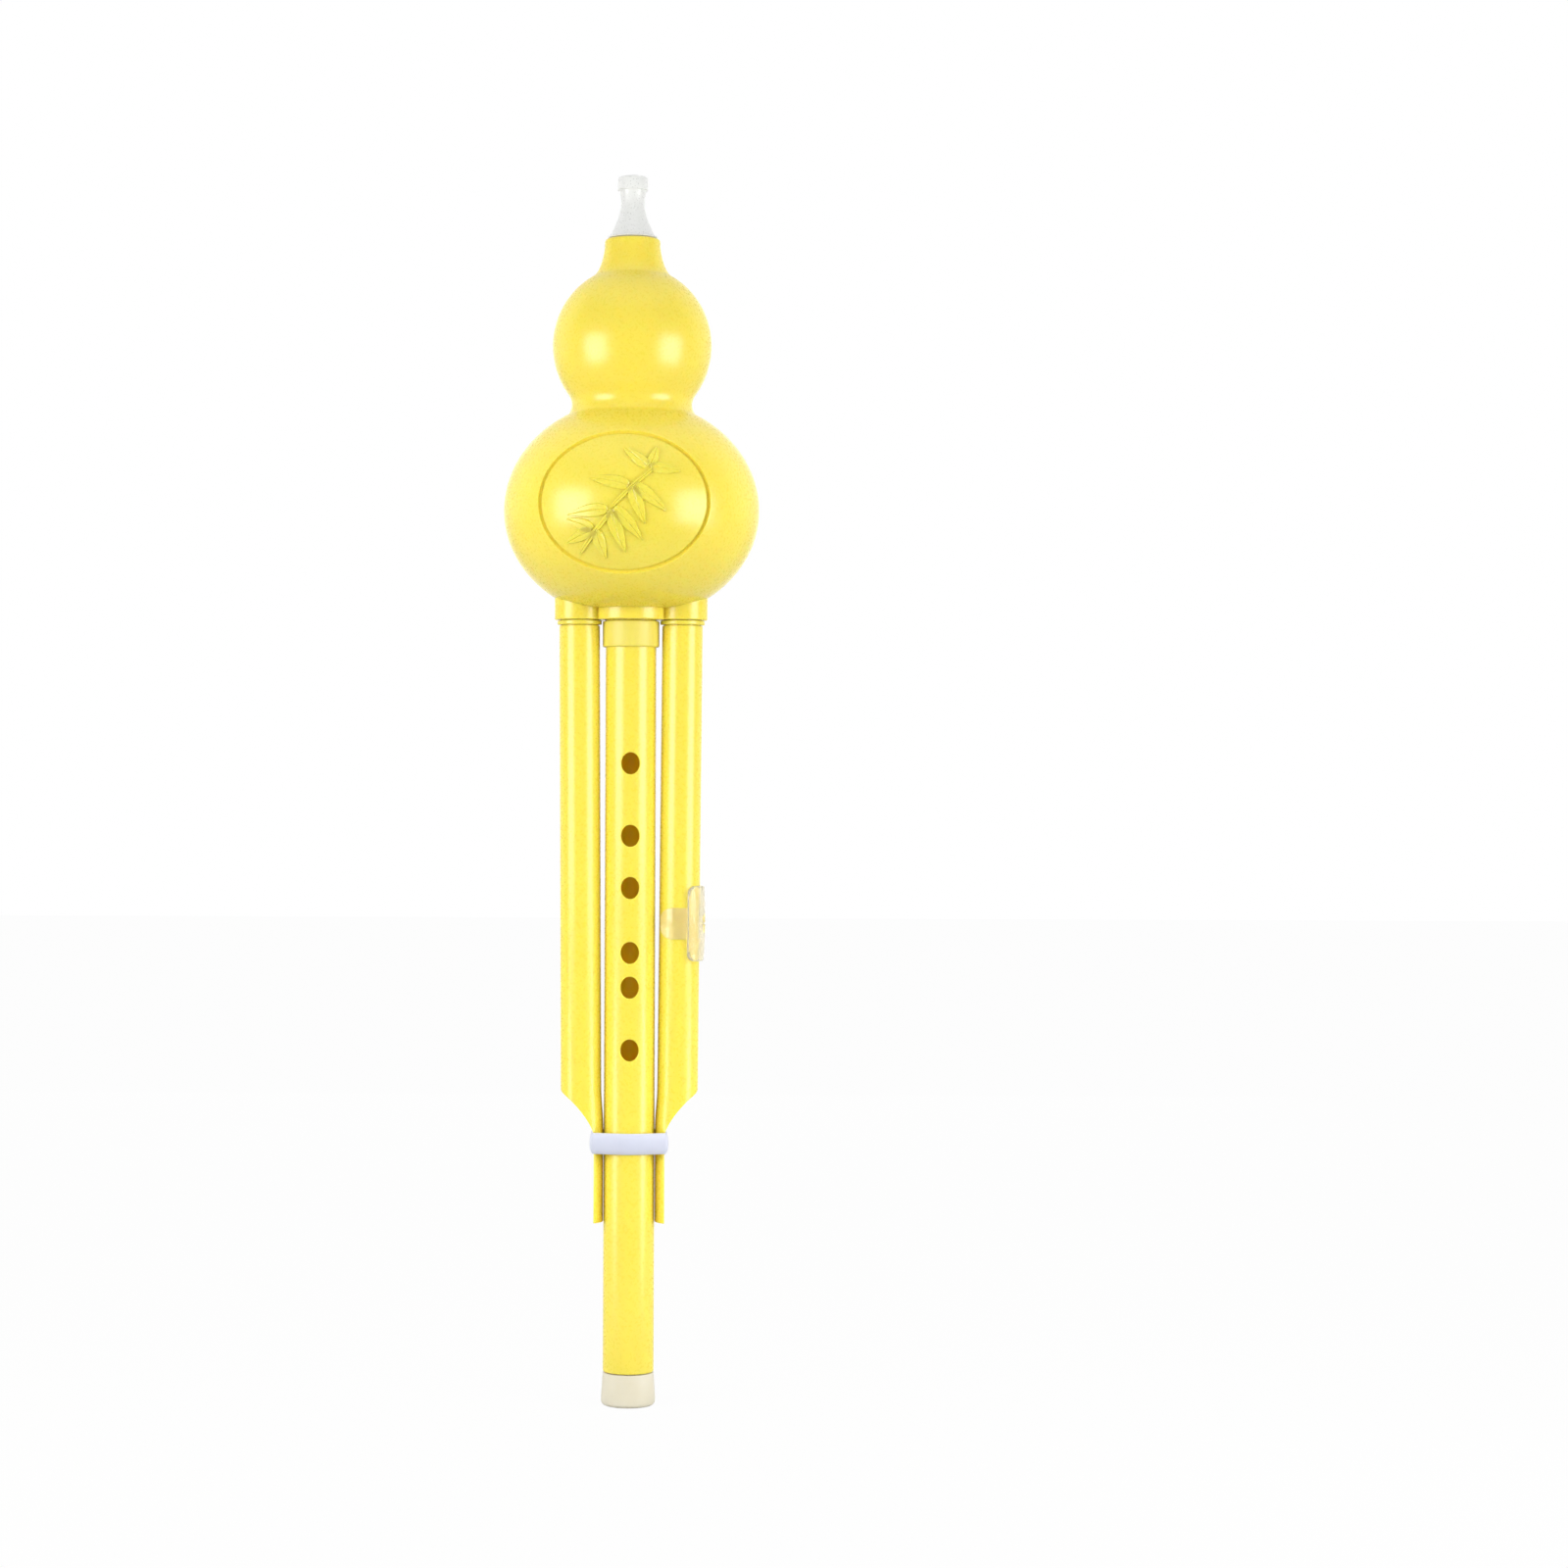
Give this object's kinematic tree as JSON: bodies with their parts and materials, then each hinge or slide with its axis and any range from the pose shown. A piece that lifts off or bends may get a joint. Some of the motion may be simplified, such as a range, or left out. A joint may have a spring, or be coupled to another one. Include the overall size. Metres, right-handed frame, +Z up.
{
  "type": "hulusi",
  "caption": "Gourd-shaped free-reed wind instrument with a mouthpiece, a melody pipe with finger holes, drone pipes tied by an elastic band, and a turning drone clip.",
  "frame": {"origin": "the middle of the end cap's flat underside, under the lower end of the melody pipe", "axes": "+Z up along the melody pipe towards the mouthpiece, -Y the front with the finger holes, +X towards the drone with the clip"},
  "size_m": [0.0874, 0.0874, 0.42],
  "materials": {
    "yellow_plastic": "moulded ABS, semi-gloss yellow",
    "ferrule_plastic": "moulded ABS, satin pale yellow",
    "frosted_plastic": "frosted, milky polypropylene",
    "cream_plastic": "frosted, cream soft plastic",
    "clear_plastic": "clear moulded plastic",
    "band_silicone": "pale milky silicone",
    "seal_rubber": "soft pale rubber",
    "holder_plastic": "moulded ABS, off-white",
    "reed_brass": "rolled brass, brushed"
  },
  "bodies": {
    "gourd": {"gourd_front_shell": "yellow_plastic", "gourd_back_shell": "yellow_plastic", "socket_block": "yellow_plastic"},
    "mouthpiece": {"mouthpiece": "frosted_plastic", "mouthpiece_seal_ring": "seal_rubber"},
    "main_seals": {"main_seal_ring_lower": "seal_rubber", "main_seal_ring_upper": "seal_rubber"},
    "main_pipe": {"main_pipe": "yellow_plastic", "main_ferrule": "ferrule_plastic", "main_reed_holder": "holder_plastic", "main_reed_plate": "reed_brass"},
    "end_cap": {"end_cap": "cream_plastic"},
    "left_drone": {"left_drone_pipe": "yellow_plastic", "left_drone_collar": "yellow_plastic", "left_drone_seal_ring": "seal_rubber", "left_drone_stopper": "holder_plastic"},
    "right_drone": {"right_drone_pipe": "yellow_plastic", "right_drone_collar": "yellow_plastic", "right_drone_seal_ring": "seal_rubber", "right_drone_reed_holder": "holder_plastic", "right_drone_reed_plate": "reed_brass"},
    "clip": {"drone_clip": "clear_plastic"},
    "band": {"elastic_band": "band_silicone"}
  },
  "joints": [
    {"name": "mouthpiece_pull", "type": "slide", "parent": "gourd", "child": "mouthpiece", "axis": [0, 0, 1], "range_m": [0, 0.012]},
    {"name": "main_pipe_pull", "type": "slide", "parent": "gourd", "child": "main_seals", "axis": [0, 0, -1], "range_m": [0, 0.056]},
    {"name": "main_pipe_turn", "type": "hinge", "parent": "main_seals", "child": "main_pipe", "pos_m": [0, 0, 0.2684], "axis": [0, 0, 1], "range_deg": [-30, 30]},
    {"name": "end_cap_pull", "type": "slide", "parent": "main_pipe", "child": "end_cap", "axis": [0, 0, -1], "range_m": [0, 0.02]},
    {"name": "left_drone_pull", "type": "slide", "parent": "gourd", "child": "left_drone", "axis": [0, 0, -1], "range_m": [0, 0.047]},
    {"name": "right_drone_pull", "type": "slide", "parent": "gourd", "child": "right_drone", "axis": [0, 0, -1], "range_m": [0, 0.047]},
    {"name": "clip_turn", "type": "hinge", "parent": "right_drone", "child": "clip", "pos_m": [0.01762, 0, 0.2684], "axis": [0.007, 0, 1], "range_deg": [-60, 0]},
    {"name": "band_slip", "type": "slide", "parent": "left_drone", "child": "band", "axis": [0, 0, -1], "range_m": [0, 0.02]}
  ],
  "couplings": [
    {"joint": "right_drone_pull", "follows": "left_drone_pull", "ratio": 1}
  ]
}
